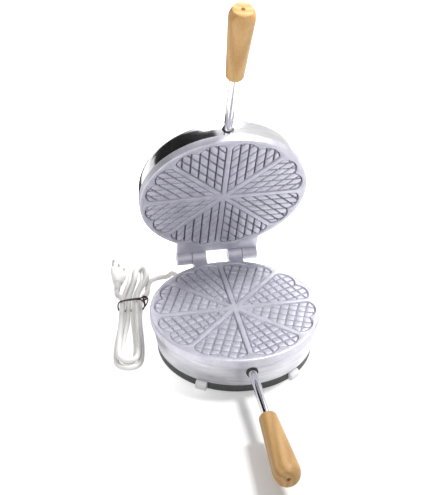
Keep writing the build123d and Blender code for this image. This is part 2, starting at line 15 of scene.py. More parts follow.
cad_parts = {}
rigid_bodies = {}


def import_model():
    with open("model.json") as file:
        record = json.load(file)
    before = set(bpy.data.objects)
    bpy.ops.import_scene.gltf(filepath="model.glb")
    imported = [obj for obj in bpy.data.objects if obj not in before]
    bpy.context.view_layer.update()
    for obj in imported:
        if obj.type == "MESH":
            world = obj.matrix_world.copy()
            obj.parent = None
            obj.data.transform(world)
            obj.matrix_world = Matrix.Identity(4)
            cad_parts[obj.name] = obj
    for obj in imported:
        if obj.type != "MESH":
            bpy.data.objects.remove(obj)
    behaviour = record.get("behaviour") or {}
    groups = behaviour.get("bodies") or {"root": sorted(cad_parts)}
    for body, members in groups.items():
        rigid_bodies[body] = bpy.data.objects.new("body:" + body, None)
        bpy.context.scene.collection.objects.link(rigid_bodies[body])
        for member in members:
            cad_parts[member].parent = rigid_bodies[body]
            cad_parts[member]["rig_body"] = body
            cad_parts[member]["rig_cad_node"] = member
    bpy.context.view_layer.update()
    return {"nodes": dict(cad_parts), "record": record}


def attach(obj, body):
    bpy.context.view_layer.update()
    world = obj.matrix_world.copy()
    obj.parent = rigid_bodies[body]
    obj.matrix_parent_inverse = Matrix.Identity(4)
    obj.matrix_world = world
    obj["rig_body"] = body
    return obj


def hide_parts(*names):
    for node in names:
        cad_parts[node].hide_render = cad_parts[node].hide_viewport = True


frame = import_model()
nodes = frame["nodes"]
bpy.ops.object.select_all(action="DESELECT")

# %% [markdown]
# Sizes are in millimetres in the drawing and in metres in Blender, so one factor turns
# them over. Two placing matrices say where the cooking faces are. Each has its origin at
# the middle of the face, Y towards the hinge and Z out of the metal. The lid's comes from
# the hinge: the lid stands open by 68 degrees.

# %% Where the two halves are
MM = 0.001
plate_middle = Vector((0, 66.788, 0)) * MM
face_height = 51 * MM
hinge_reach = 116 * MM
hinge_height = 50 * MM
face_rise = 1.3 * MM
opening = math.radians(68)


def placing(x_axis, y_axis, z_axis, origin):
    """A matrix that puts a piece's own axes on the given ones."""
    turned = Matrix((x_axis, y_axis, z_axis)).transposed().to_4x4()
    return Matrix.Translation(origin) @ turned


base_face = Matrix.Translation(plate_middle + Vector((0, 0, face_height)))
lid_up = Vector((0, math.sin(opening), math.cos(opening)))
lid_back = Vector((0, math.cos(opening), -math.sin(opening)))
hinge_point = plate_middle + Vector((0, hinge_reach, hinge_height))
lid_middle = hinge_point - lid_back * hinge_reach + lid_up * face_rise
lid_face = placing(Vector((-1, 0, 0)), lid_back, -lid_up, lid_middle)
halves = (("lower", "base", base_face), ("upper", "lid", lid_face))
print("lid face middle, mm:", [round(v / MM, 1) for v in lid_face.translation])

# %% [markdown]
# The camera comes before anything else, because the cord is judged by what it sees. The
# picture was taken from a little left of the lower handle and from well above, with a
# fairly long lens, so the far plate is hardly smaller than the near one. Azimuth is counted
# round the iron from the handle's side, and elevation from the table.

# %% Camera
camera_azimuth = math.radians(-11.107)
camera_elevation = math.radians(32.549)
camera_roll = math.radians(0.514)
camera_place = Vector((-211.87, -969.78, 767.76)) * MM + plate_middle
focal_length = 75.54
sensor_width = 36

back = Vector((
    math.sin(camera_azimuth) * math.cos(camera_elevation),
    -math.cos(camera_azimuth) * math.cos(camera_elevation),
    math.sin(camera_elevation),
))
level_right = Vector((math.cos(camera_azimuth), math.sin(camera_azimuth), 0))
level_up = back.cross(level_right)
right = math.cos(camera_roll) * level_right + math.sin(camera_roll) * level_up
up = -math.sin(camera_roll) * level_right + math.cos(camera_roll) * level_up

bpy.ops.object.camera_add()
camera = bpy.context.object
camera.name = "photo_camera"
camera.data.lens = focal_length
camera.data.sensor_width = sensor_width
camera.data.clip_end = 20
camera.matrix_world = placing(right, up, back, camera_place)
bpy.context.scene.camera = camera
print("camera at, mm:", [round(v / MM) for v in camera_place])

# %% [markdown]
# A material is a tree of nodes, and wiring one node by node soon hides what it works out.
# So a small class wraps a number on a socket, and Python's own operators add the Math nodes
# behind it: `1 - mask` becomes a node that subtracts.

# %% Shader maths: numbers
class Value:
    """A number on a shader socket. Python's own operators add Math nodes behind it."""

    def __init__(self, tree, socket):
        self.tree = tree
        self.socket = socket

    def join(self, operation, first, second=0.0):
        node = self.tree.add("ShaderNodeMath", dict(operation=operation), {0: first, 1: second})
        return self.tree.value(node.outputs[0])

    def __add__(self, other):
        return self.join("ADD", self, other)

    def __sub__(self, other):
        return self.join("SUBTRACT", self, other)

    def __rsub__(self, other):
        return self.join("SUBTRACT", other, self)

    def __mul__(self, other):
        return self.join("MULTIPLY", self, other)

    def __pow__(self, other):
        return self.join("POWER", self, other)

    def larger(self, other):
        return self.join("MAXIMUM", self, other)

    def sine(self):
        return self.join("SINE", self)

    __radd__ = __add__
    __rmul__ = __mul__


print("sums on sockets: plus, minus, times, power, larger and sine")

# %% [markdown]
# A second class adds every other node, with its settings first and its inputs after them.
# The patterns that come back again and again, such as noise, get a method each. All finishes
# end in one Principled shader, so one function closes them all.

# %% Shader maths: nodes
class Tree:
    """The nodes of a material or a world, added one at a time."""

    def __init__(self, owner):
        owner.use_nodes = True
        self.owner = owner
        self.nodes = owner.node_tree.nodes
        self.links = owner.node_tree.links
        self.nodes.clear()

    def feed(self, entry, value):
        """Links a socket or a Value to a node's input, or sets a plain number or colour."""
        source = value.socket if isinstance(value, Value) else value
        if isinstance(source, bpy.types.NodeSocket):
            self.links.new(source, entry)
        else:
            entry.default_value = source

    def add(self, kind, settings=None, inputs=None):
        """A node with its settings, a dictionary, and its inputs, by name or number."""
        node = self.nodes.new(kind)
        for name, setting in (settings or {}).items():
            setattr(node, name, setting)
        for name, value in (inputs or {}).items():
            self.feed(node.inputs[name], value)
        return node

    def value(self, socket):
        return Value(self, socket)

    def object_point(self, offset=(0, 0, 0), turn=(0, 0, 0), scale=(1, 1, 1)):
        """The place on the piece, in axes that are shifted, turned and stretched."""
        place = self.add("ShaderNodeTexCoord").outputs["Object"]
        mapping = self.add("ShaderNodeMapping", dict(vector_type="TEXTURE"), {
            "Vector": place, "Location": offset, "Rotation": turn, "Scale": scale,
        })
        return mapping.outputs[0]

    def noise(self, point, scale, detail=2.0, roughness=0.5):
        node = self.add("ShaderNodeTexNoise", None, {
            "Vector": point, "Scale": scale, "Detail": detail, "Roughness": roughness,
        })
        return self.value(node.outputs["Fac"])

    def spread(self, value, low, high, to_low=0.0, to_high=1.0):
        """A value's range stretched onto another one, without going past its ends."""
        node = self.add("ShaderNodeMapRange", dict(clamp=True), {
            "Value": value, "From Min": low, "From Max": high, "To Min": to_low, "To Max": to_high,
        })
        return self.value(node.outputs[0])

    def mixed(self, factor, first, second):
        """Two colours mixed. A Mix node has its colours on inputs 6 and 7 and output 2."""
        first, second = [
            colour if isinstance(colour, bpy.types.NodeSocket) else (*colour, 1)
            for colour in (first, second)
        ]
        node = self.add("ShaderNodeMix", dict(data_type="RGBA"), {0: factor, 6: first, 7: second})
        return node.outputs[2]

    def bump(self, height, strength, distance):
        node = self.add("ShaderNodeBump", None, {
            "Height": height, "Strength": strength, "Distance": distance,
        })
        return node.outputs[0]

    def seen_directly(self):
        """1 for what the camera sees itself or in metal and glass, otherwise 0."""
        path = self.add("ShaderNodeLightPath")
        seen = self.value(path.outputs["Is Camera Ray"])
        seen = seen.larger(self.value(path.outputs["Is Glossy Ray"]))
        return seen.larger(self.value(path.outputs["Is Transmission Ray"]))


def started(name):
    """A new material's tree, ready for its patterns."""
    return Tree(bpy.data.materials.new(name))


def finish(tree, base, metallic, roughness, normal=None):
    """Closes a material's tree with one Principled shader and returns the material."""
    inputs = {"Metallic": metallic, "Roughness": roughness, "Base Color": base}
    if normal is not None:
        inputs["Normal"] = normal
    shader = tree.add("ShaderNodeBsdfPrincipled", None, inputs)
    tree.add("ShaderNodeOutputMaterial", None, {"Surface": shader.outputs[0]})
    return tree.owner


print("a tree for each material, closed by one shader")

# %% [markdown]
# The iron stands on a white sweep. A lit floor alone turns grey towards its edges, so its
# material adds a little white of its own for the camera and for reflections. Is Camera Ray,
# Is Glossy Ray and Is Transmission Ray tell these rays from the ones that light the iron.
# The part of the lamps' light that the iron blocks is still missing, and that is what draws
# the soft shadow. The floor's own light is weak round the lower grip, so that its shadow
# shows, and grows further out, so that the lid's wide shadow doesn't turn the table grey.

# %% White sweep
floor_size = 8.0
floor_white = (0.8, 0.8, 0.8, 1)
floor_own_light = (0.10, 0.85)
grip_on_floor = (-0.01, -0.15, 0)
shade_stretch = (0.45, 1, 1)
shade_reach = (0.09, 0.28)

bpy.ops.mesh.primitive_plane_add(size=floor_size, location=(0, 0, 0))
floor = bpy.context.object
floor.name = "white_sweep"

sweep = started("white_sweep")
lit = sweep.add("ShaderNodeBsdfDiffuse", None, {"Color": floor_white})
from_grip = sweep.add("ShaderNodeVectorMath", dict(operation="LENGTH"), {
    0: sweep.object_point(offset=grip_on_floor, scale=shade_stretch),
})
away = sweep.value(from_grip.outputs["Value"])
glow_here = sweep.spread(away, *shade_reach, *floor_own_light)
own = sweep.add("ShaderNodeEmission", None, {"Strength": sweep.seen_directly() * glow_here})
both = sweep.add("ShaderNodeAddShader", None, {0: lit.outputs[0], 1: own.outputs[0]})
sweep.add("ShaderNodeOutputMaterial", None, {"Surface": both.outputs[0]})
floor.data.materials.append(sweep.owner)
print(f"white sweep: {floor_size:.0f} m square")

# %% [markdown]
# The light is that of a small studio. A small box high on the right makes the shadows fall
# to the left with clear edges, a large weak one on the left fills them, and one behind draws
# a bright line along the top of the lid. The world is white where it is seen and dimmer
# where it lights.

# %% Lights and world
def soft_box(name, place, target, size, power):
    """A square area light that faces a target."""
    bpy.ops.object.light_add(type="AREA", location=place)
    lamp = bpy.context.object
    lamp.name = name
    lamp.data.size = size
    lamp.data.energy = power
    aim = Vector(target) - Vector(place)
    lamp.rotation_euler = aim.to_track_quat("-Z", "Y").to_euler()
    return lamp


iron_middle = Vector((0, 0.06, 0.12))
lamps = [
    soft_box("key_light", (0.64, 0.12, 1.45), iron_middle, size=0.3, power=20),
    soft_box("fill_light", (-0.9, -1.1, 1.1), iron_middle, size=1.2, power=5),
    soft_box("rim_light", (0.1, 1.0, 1.1), iron_middle, size=0.8, power=7),
]

world = bpy.data.worlds.new("studio")
bpy.context.scene.world = world
surround = Tree(world)
surround_light = 0.36
strength = surround.spread(surround.seen_directly(), 0, 1, surround_light, 1.0)
glow = surround.add("ShaderNodeBackground", None, {"Color": (1, 1, 1, 1), "Strength": strength})
surround.add("ShaderNodeOutputWorld", None, {"Surface": glow.outputs[0]})
bpy.context.scene.view_settings.view_transform = "Standard"
print(f"{len(lamps)} lamps, {sum(lamp.data.energy for lamp in lamps):.0f} W in all")

# %% [markdown]
# Bright metal shows its surroundings, and in an all-white room it would vanish. Black cards
# give the casings and the rods their dark streaks: two on the left that face the iron, one
# that lies flat above them, and one flat behind the iron, just off the floor. Only
# reflections see them. Other rays pass through, so they cast no shadow and never stand in a
# picture.

# %% Black cards
card_glow = 0.02
cards = [
    ((-0.8, 0.75, 0.8), 1.2, True), ((-0.68, 0.45, 1.5), 1.2, False),
    ((-0.55, 1.25, 0.45), 0.6, True), ((0, 0.68, 0.003), 0.6, False),
]

card_look = started("black_card")
reflected = card_look.add("ShaderNodeLightPath").outputs["Is Glossy Ray"]
clear = card_look.add("ShaderNodeBsdfTransparent").outputs[0]
dark = card_look.add("ShaderNodeEmission", None, {"Strength": card_glow}).outputs[0]
shown = card_look.add("ShaderNodeMixShader", None, {0: reflected, 1: clear, 2: dark})
card_look.add("ShaderNodeOutputMaterial", None, {"Surface": shown.outputs[0]})
for number, (place, size, faces_iron) in enumerate(cards, 1):
    bpy.ops.object.select_all(action="DESELECT")
    bpy.ops.mesh.primitive_plane_add(size=size, location=place)
    card = bpy.context.object
    card.name = f"black_card_{number}"
    if faces_iron:
        aim = iron_middle - card.location
        card.rotation_euler = aim.to_track_quat("Z", "Y").to_euler()
    card.data.materials.append(card_look.owner)
print(f"{len(cards)} black cards")

# %% [markdown]
# The lead is one unbroken cord: out of its gland, down to the table, forward into the hank,
# three times up and down through the tie, and back up to the plug. One NURBS spline carries
# it, so that it bends as smoothly as a real one. Its control points stand outside the curve
# at each fold. They are drawn in the hank's own axes, X across the runs and Y along them.

# %% The lead's route
cord_diameter = 6.5 * MM
hank_place = Matrix.Translation(plate_middle + Vector((-114, 85, 0)) * MM) @ Matrix.Rotation(
    math.radians(-8.5), 4, "Z"
)
low, high = 4.3, 11.5
gland_turn = math.radians(112)
gland_out = Vector((math.cos(gland_turn), math.sin(gland_turn), 0))
gland_tip = 130.1
gland_height = 20
straight_run = 14
lead_from_gland = [
    gland_out * reach + Vector((0, 0, gland_height))
    for reach in (gland_tip, gland_tip + straight_run)
]
lead_on_table = [(-59, 140, 8), (-71, 147.5, 3.6), (-82, 142.5, 3.8)]
hank_route = [
    (20, 50.5, low), (20, 40.5, low), (19.6, 30, low), (11.2, 15, low),
    (10.8, 6, low), (10.8, -6, low), (10.8, -28, low), (15.2, -78, low),
    (15.2, -103, low), (12.5, -113, low), (5, -118, low), (-5, -118, low),
    (-12.5, -113, low), (-15.2, -103, low), (-15.2, -78, low), (-10.8, -28, low),
    (-10.8, -6, low), (-10.8, 6, low), (-10.8, 24, low), (-3, 58, low),
    (-3, 78, low), (0, 84.5, low), (5, 87, low), (10, 84.5, low),
    (13, 78, low), (13, 58, low), (3.6, 24, low), (3.6, 6, low),
    (3.6, -6, low), (3.6, -28, low), (8, -75, low), (8, -98, low),
    (6.5, -104, low), (2.5, -107, low), (-2.5, -107, low), (-6.5, -104, low),
    (-8, -98, low), (-8, -75, low), (-3.6, -28, low), (-3.6, -6, low),
    (-3.6, 6, low), (-3.6, 22, 5.2), (0.2, 38, 7.9), (4, 54, 10.6),
    (4, 72, high), (6.5, 79, high), (11.5, 81.5, high), (16.5, 79, high),
    (19, 72, high), (19, 52, high), (7.2, 24, high), (7.2, 6, high),
    (7.2, -6, high), (7.2, -28, high), (11.6, -78, high), (11.6, -101, high),
    (9.5, -109.5, high), (4, -114, high), (-4, -114, high), (-9.5, -109.5, high),
    (-11.6, -101, high), (-11.6, -78, high), (-10.8, -28, high), (-10.8, -6, high),
    (-10.8, 4, high), (-12.5, 12, high), (-18.5, 18, high), (-18.5, 24, high),
    (-18.5, 28.5, high),
]
route = [plate_middle + point * MM for point in lead_from_gland]
route += [plate_middle + Vector(point) * MM for point in lead_on_table]
route += [hank_place @ (Vector(point) * MM) for point in hank_route]
print(f"route: {len(route)} control points")

# %% [markdown]
# A cord could be a tube swept by hand, ring by ring. A curve with a round bevel does the
# same and stays easy to bend, and its thickness is even, as the real lead's is. The curve's
# own bevel is 1, so each control point's radius says how thick the cord is there.

# %% The lead
def cord_along(name, places, radius, facets):
    """A round cord on one NURBS spline through control points in metres."""
    curve = bpy.data.curves.new(name, "CURVE")
    curve.dimensions = "3D"
    spline = curve.splines.new("NURBS")
    spline.points.add(len(places) - 1)
    for point, place in zip(spline.points, places):
        point.co = (*place, 1)
        point.radius = radius
    spline.order_u = 3
    spline.use_endpoint_u = True
    spline.resolution_u = 8
    curve.bevel_depth = 1.0
    curve.bevel_resolution = facets
    cord = bpy.data.objects.new(name, curve)
    bpy.context.collection.objects.link(cord)
    return cord


lead = cord_along("lead", route, cord_diameter / 2, facets=6)
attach(lead, "base")
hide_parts("power_cord", "cord_hank")

# %% [markdown]
# Copies of solids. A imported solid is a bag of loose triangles, so it shades flat and its
# edges are razor sharp, which no casting or moulding is. A copy is merged first. Where it
# gets an edge width, its flat faces are cleaned of their inner lines, and a Bevel modifier
# rounds the edges that are left.

# %% Softened copies
same_point = 0.005 * MM
flat_within = math.radians(1.0)
edge_from = math.radians(24)
smooth_below = math.radians(35)


def alone(piece):
    """Makes a piece the only one selected, and the active one."""
    bpy.ops.object.select_all(action="DESELECT")
    piece.select_set(True)
    bpy.context.view_layer.objects.active = piece


def apply_all(piece):
    """Applies a piece's modifiers, from the first to the last."""
    alone(piece)
    for modifier in list(piece.modifiers):
        bpy.ops.object.modifier_apply(modifier=modifier.name)


def merged(piece, distance, flat_too=True):
    """Merges a piece's doubled points, and its flat neighbours into one face each."""
    alone(piece)
    bpy.ops.object.mode_set(mode="EDIT")
    bpy.ops.mesh.select_all(action="SELECT")
    bpy.ops.mesh.remove_doubles(threshold=distance)
    if flat_too:
        bpy.ops.mesh.dissolve_limited(angle_limit=flat_within)
    bpy.ops.object.mode_set(mode="OBJECT")


def round_edges(piece, width):
    """Rounds a merged piece's edges with a small bevel."""
    bevel = piece.modifiers.new("edge", "BEVEL")
    bevel.width = width
    bevel.segments = 2
    bevel.limit_method = "ANGLE"
    bevel.angle_limit = edge_from
    apply_all(piece)


def softened(node, name, body, edge=0.0):
    """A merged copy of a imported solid, with rounded edges where a width is given."""
    alone(nodes[node])
    bpy.ops.object.duplicate()
    piece = bpy.context.object
    piece.name = name
    piece.data.name = name
    piece.data.materials.clear()
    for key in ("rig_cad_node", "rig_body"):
        if key in piece:
            del piece[key]
    piece.parent = None
    merged(piece, same_point, flat_too=bool(edge))
    if edge:
        round_edges(piece, edge)
    bpy.ops.object.shade_smooth_by_angle(angle=smooth_below)
    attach(piece, body)
    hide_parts(node)
    print(f"{name}: {len(piece.data.polygons)} faces")
    return piece


# %% [markdown]
# Turned pieces. Casings, rods, bushes and grips are round about one line, and on a lathe
# their whole form is one profile. So a circle is drawn at the profile's first station and
# its edge is pulled out along the line and scaled, station by station, as in edit mode by
# hand. The piece is made upright on the world's Z and then set on its own axis.

# %% Turned pieces
same_turned_point = 0.004 * MM


def turned(name, stations, place, body, slot, stands_for, steps=128, sharp=40):
    """A closed profile of (height, radius) stations in millimetres, turned about Z."""
    height, radius = stations[0]
    bpy.ops.object.select_all(action="DESELECT")
    bpy.ops.mesh.primitive_circle_add(vertices=steps, radius=radius * MM)
    piece = bpy.context.object
    piece.name = name
    piece.data.name = name
    bpy.ops.object.mode_set(mode="EDIT")
    bpy.ops.mesh.select_all(action="SELECT")
    bpy.ops.transform.translate(value=(0, 0, height * MM))
    for next_height, next_radius in stations[1:]:
        bpy.ops.mesh.extrude_edges_move(
            TRANSFORM_OT_translate={"value": (0, 0, (next_height - height) * MM)}
        )
        ratio = next_radius / radius
        bpy.ops.transform.resize(value=(ratio, ratio, 1), center_override=(0, 0, next_height * MM))
        height, radius = next_height, next_radius
    bpy.ops.mesh.select_all(action="SELECT")
    bpy.ops.mesh.remove_doubles(threshold=same_turned_point)
    bpy.ops.mesh.select_all(action="DESELECT")
    bpy.ops.mesh.select_non_manifold()
    if any(edge.select for edge in bmesh.from_edit_mesh(piece.data).edges):
        bpy.ops.mesh.fill_holes(sides=0)
    bpy.ops.mesh.select_all(action="SELECT")
    bpy.ops.mesh.normals_make_consistent(inside=False)
    bpy.ops.object.mode_set(mode="OBJECT")
    piece.data.transform(place)
    bpy.ops.object.shade_smooth_by_angle(angle=math.radians(sharp))
    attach(piece, body)
    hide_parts(*stands_for)
    print(f"{name}: {len(piece.data.polygons)} faces")
    return piece


# %% [markdown]
# A profile is quickest to write as a few corners, but on spun metal and turned wood no
# corner is sharp. So the corners that show are named with a radius, and each is swapped for
# the stations of an arc that runs on smoothly into its neighbours.

# %% Round corners of a profile
def rounded(before, corner, after, radius, steps=6):
    """The stations of a round corner between two straight runs of a profile."""
    here = Vector(corner)
    to_before = (Vector(before) - here).normalized()
    to_after = (Vector(after) - here).normalized()
    half = to_before.angle(to_after) / 2
    reach = radius / math.tan(half)
    middle = here + (to_before + to_after).normalized() * radius / math.sin(half)
    start, end = here + to_before * reach, here + to_after * reach
    sweep_angle = (start - middle).angle_signed(end - middle)
    return [
        tuple(middle + Matrix.Rotation(-sweep_angle * step / steps, 2) @ (start - middle))
        for step in range(steps + 1)
    ]


def profile(points, corners):
    """A closed profile. The corners map a point's place in the list to a radius."""
    stations = []
    for here, point in enumerate(points):
        if here in corners:
            after = points[(here + 1) % len(points)]
            stations += rounded(points[here - 1], point, after, corners[here])
        else:
            stations.append(point)
    return stations


print(f"a round corner takes {len(rounded((0, 0), (1, 0), (1, 1), 0.4))} stations")

# %% [markdown]
# The casings are two shallow pans spun from thin sheet. The base's tapers a little towards
# its foot. The lid's has a wide curve where its side turns into the back, which catches the
# window of light, and a small hole in the middle for its screw. Heights count out of each
# plate's face, so the casings' are below nought.

# %% Casings
base_profile = profile(
    [(-11, 96.5), (-11, 98.0), (-41.5, 92.7), (-41.5, 84.2), (-40, 84.2), (-40, 91.2)],
    {1: 0.4, 2: 1.5, 5: 0.5},
)
base_casing = turned(
    "base_casing", base_profile + base_profile[:1], base_face, "base", "casing", ["base_shell"]
)
lid_profile = [
    (-11, 96.5), (-11, 98.2), (-15, 98.4), (-20, 98.4), (-24, 98.1), (-27.5, 97.5), (-30.5, 96.6),
    (-33, 95.4), (-35.2, 93.8), (-36.8, 91.8), (-37.7, 89.6), (-38, 87), (-38, 2.7), (-36.5, 2.7),
    (-36.5, 87), (-35.4, 90.9), (-33, 93.3), (-29, 95.4), (-24, 96.6), (-18, 96.9),
]
lid_casing = turned(
    "lid_casing", lid_profile + lid_profile[:1], lid_face, "lid", "casing", ["upper_shell"]
)

# %% [markdown]
# The cooking plates carry the iron's whole character: eight hearts round a hub, narrow ribs
# between them, and in each heart a field of small pads with thin channels, which bake the
# pattern into the waffle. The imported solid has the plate's back, its barrels and its lugs, so
# a copy of it is kept and only its face is made anew. A thin disc fills the old relief, eight
# tapered hearts are cut from it, and the pads stand in them. First comes the heart's outline:
# two straight sides from the tip, a small corner each, and two lobes that meet in a cleft.

# %% One heart's outline
half_sector = math.pi / 8
rib_half = 2.5
lobe_radius = 20.4
corner_round = 6.0
lobe_centre = Vector((74.9, 0))
lobe_centre.rotate(Matrix.Rotation(math.radians(10.2), 2))
side_steps, corner_steps, lobe_steps = 8, 6, 18


def heart_outline(inset):
    """Points round a heart whose tip is at the hub, drawn in by an inset all round."""
    along = Vector((math.cos(half_sector), math.sin(half_sector)))
    inward = Vector((along.y, -along.x))
    margin, radius, corner = rib_half + inset, lobe_radius - inset, corner_round - inset
    aside = inward.dot(lobe_centre) - margin - corner
    reach = along.dot(lobe_centre) + math.sqrt((radius - corner) ** 2 - aside ** 2)
    middle = inward * (margin + corner) + along * reach
    tip = Vector((margin / math.sin(half_sector), 0))
    side_end = inward * margin + along * reach
    points = [tip.lerp(side_end, step / side_steps) for step in range(side_steps + 1)]
    first = math.atan2(-inward.y, -inward.x)
    outward = middle - lobe_centre
    second = math.atan2(outward.y, outward.x)
    for step in range(1, corner_steps):
        angle = first + (second - first) * step / corner_steps
        points.append(middle + corner * Vector((math.cos(angle), math.sin(angle))))
    cleft = -math.asin(lobe_centre.y / radius)
    for step in range(lobe_steps + 1):
        angle = second + (cleft - second) * step / lobe_steps
        points.append(lobe_centre + radius * Vector((math.cos(angle), math.sin(angle))))
    return points + [Vector((point.x, -point.y)) for point in reversed(points[1:-1])]


print(f"a heart's outline has {len(heart_outline(0))} points")

# %% [markdown]
# A cast heart has sloping sides, so that the waffle comes away. Its block starts as a flat
# disc with a point for each point of the outline. The points are moved onto the outline, the
# face is extruded, and the new points are drawn in to the next section's outline.

# %% A block with a heart's outline
def heart_block(name, sections):
    """A solid heart through (height, inset) sections in millimetres, from the top down."""
    outlines = [(height, heart_outline(inset)) for height, inset in sections]
    bpy.ops.object.select_all(action="DESELECT")
    # The disc's size and the extrusion's length don't matter: every point is placed below
    bpy.ops.mesh.primitive_circle_add(vertices=len(outlines[0][1]), radius=0.05, fill_type="NGON")
    block = bpy.context.object
    block.name = name
    bpy.ops.object.mode_set(mode="EDIT")
    for level, (height, outline) in enumerate(outlines):
        if level:
            bpy.ops.mesh.extrude_region_move(TRANSFORM_OT_translate={"value": (0, 0, -0.001)})
        drawn = bmesh.from_edit_mesh(block.data)
        ring = [vertex for vertex in drawn.verts if vertex.select]
        if level == 0:
            ring.sort(key=lambda vertex: vertex.index)
            for vertex, point in zip(ring, outline):
                vertex.co = (*(point * MM), height * MM)
        else:
            before = [point * MM for point in outlines[level - 1][1]]
            for vertex in ring:
                nearest = min(range(len(before)), key=lambda i: (before[i] - vertex.co.xy).length)
                vertex.co = (*(outline[nearest] * MM), height * MM)
        bmesh.update_edit_mesh(block.data)
    bpy.ops.mesh.select_all(action="SELECT")
    bpy.ops.mesh.normals_make_consistent(inside=False)
    bpy.ops.object.mode_set(mode="OBJECT")
    return block


# %% [markdown]
# The blocks are tools: some are cut from the plate and some are joined to it, and a Boolean
# modifier does both. The exact solver keeps the plate closed. The eight hearts of a plate are
# made once, copied round the hub and joined, so that a plate needs one cut for all of them.

# %% Cutting, joining and eight round
def cut_or_add(piece, other, operation, solver="EXACT"):
    """Cuts another mesh from a piece or joins it on, and deletes the other one."""
    step = piece.modifiers.new(operation.lower(), "BOOLEAN")
    step.operation = operation
    step.object = other
    step.solver = solver
    apply_all(piece)
    bpy.data.objects.remove(other, do_unlink=True)


def eight_round(block, first_turn):
    """Joins eight turned copies of a heart's block into one mesh."""
    copies = []
    for here in range(8):
        alone(block)
        bpy.ops.object.duplicate()
        copy = bpy.context.object
        copy.data.transform(Matrix.Rotation(first_turn + here * 2 * half_sector, 4, "Z"))
        copies.append(copy)
    bpy.data.objects.remove(block, do_unlink=True)
    alone(copies[0])
    for copy in copies:
        copy.select_set(True)
    bpy.ops.object.join()
    return bpy.context.object


print("tools for the plates: heart blocks, cuts and joins, eight round")

# %% [markdown]
# The pads come of channels. A low heart fills the floor of each large one, with a gutter
# left round it, and V-shaped channels cut it into pads. In the lower plate the channels run
# along and across each heart. In the upper one they run along its two sides, so the pads are
# slanted. Here the fast solver does the cutting: the exact one lost whole strips of the
# slanted pads.

# %% Pads in a heart
pocket_depth = 4.5
pad_height = 3.7
pad_slope = math.tan(math.radians(12))
gutter = 1.2
channel_floor = 0.8
channel_pitch = 10.1
cutter_half_length = 120
cutter_height = pad_height + 1.0


def channel(turn, place):
    """One long V-shaped channel: its direction as an angle, and its place across it."""
    bpy.ops.object.select_all(action="DESELECT")
    bpy.ops.mesh.primitive_cube_add(size=1)
    cutter = bpy.context.object
    floor_level = -pocket_depth - 0.3
    for vertex in cutter.data.vertices:
        top = vertex.co.z > 0
        half_width = channel_floor / 2 + (cutter_height * pad_slope if top else 0)
        vertex.co = (
            cutter_half_length * math.copysign(1, vertex.co.x) * MM,
            half_width * math.copysign(1, vertex.co.y) * MM,
            (floor_level + cutter_height if top else floor_level) * MM,
        )
    cutter.data.transform(
        Matrix.Rotation(turn, 4, "Z") @ Matrix.Translation((0, place * MM, 0))
    )
    return cutter


def padded_heart(name, rows):
    """The pads of one heart: a low heart with rows of channels cut through it."""
    field = heart_block(name, [
        (pad_height - pocket_depth, gutter + pad_height * pad_slope), (-pocket_depth - 0.2, 1.15),
    ])
    for turn, places in rows:
        for place in places:
            cut_or_add(field, channel(turn, place), "DIFFERENCE", "FAST")
    return field


square_rows = [
    (0.0, [row * channel_pitch for row in range(-3, 4)]),
    (math.pi / 2, [-(12 + row * channel_pitch) for row in range(8)]),
]
slanted_rows = [
    (side * half_sector, [-side * (rib_half + row * channel_pitch) for row in range(1, 8)])
    for side in (1, -1)
]

print(f"channels for a heart: {sum(len(places) for _, places in square_rows)} square,"
      f" {sum(len(places) for _, places in slanted_rows)} slanted")

# %% [markdown]
# Now the plates. Each copy is worked on in its face's own axes, where the face lies at nought
# and the blocks need no placing, and it goes back to its place at the end. Points that lie
# within a hair of the face are put right on it, so that the disc's top and the face are one
# plane. An open edge would mean a hole in the casting, so the open edges are counted.

# %% Cooking plates
face_within = 0.003 * MM
same_plate_point = 0.01 * MM
fill_radius, fill_depth = 96, 6
heart_draft = 0.17
cooking_plates = []
for (half, body, face), rows in zip(halves, (square_rows, slanted_rows)):
    plate = softened(f"{half}_plate", f"{half}_cooking_plate", body)
    plate.data.transform(face.inverted())
    for vertex in plate.data.vertices:
        if abs(vertex.co.z) < face_within:
            vertex.co.z = 0
    bpy.ops.object.select_all(action="DESELECT")
    bpy.ops.mesh.primitive_cylinder_add(
        vertices=180, radius=fill_radius * MM, depth=fill_depth * MM, location=(0, 0, 0)
    )
    filler = bpy.context.object
    filler.data.transform(Matrix.Translation((0, 0, -fill_depth / 2 * MM)))
    cut_or_add(plate, filler, "UNION")
    cutter_sections = [(1.0, 0), (0, 0), (-pocket_depth, pocket_depth * heart_draft)]
    hearts = eight_round(heart_block("heart_cutter", cutter_sections), half_sector)
    cut_or_add(plate, hearts, "DIFFERENCE")
    pads = eight_round(padded_heart("pad_field", rows), half_sector)
    cut_or_add(plate, pads, "UNION")
    merged(plate, same_plate_point)
    round_edges(plate, 0.4 * MM)
    plate.data.transform(face)
    bpy.ops.object.shade_smooth_by_angle(angle=math.radians(40))
    cooking_plates.append(plate)
    drawn = bmesh.new()
    drawn.from_mesh(plate.data)
    open_edges = sum(1 for edge in drawn.edges if len(edge.link_faces) != 2)
    print(f"{half} plate: {len(drawn.faces)} faces, {open_edges} open edges,"
          f" {drawn.calc_volume() / MM ** 3:.0f} cubic mm")
    drawn.free()

# %% [markdown]
# Each handle is a plated rod in a black bush, with a turned beech grip pushed on and held by
# a screw sunk in its end. All of it is round about the rod's line, so all of it is turned.
# Heights count along the rod from the plate's middle. The grip swells evenly from its neck
# to its belly and closes in a dome.

# %% Handles
rod_radius = 5.0
rod_below_face = 19.5
hole_radius = 1.7
neck_radius, belly_radius, end_radius = 9.8, 14.1, 10.6
grip_length = 92.0
dome_length = 13
bore_length = 60
grip_starts = {"lower": 172.0, "upper": 180.0}


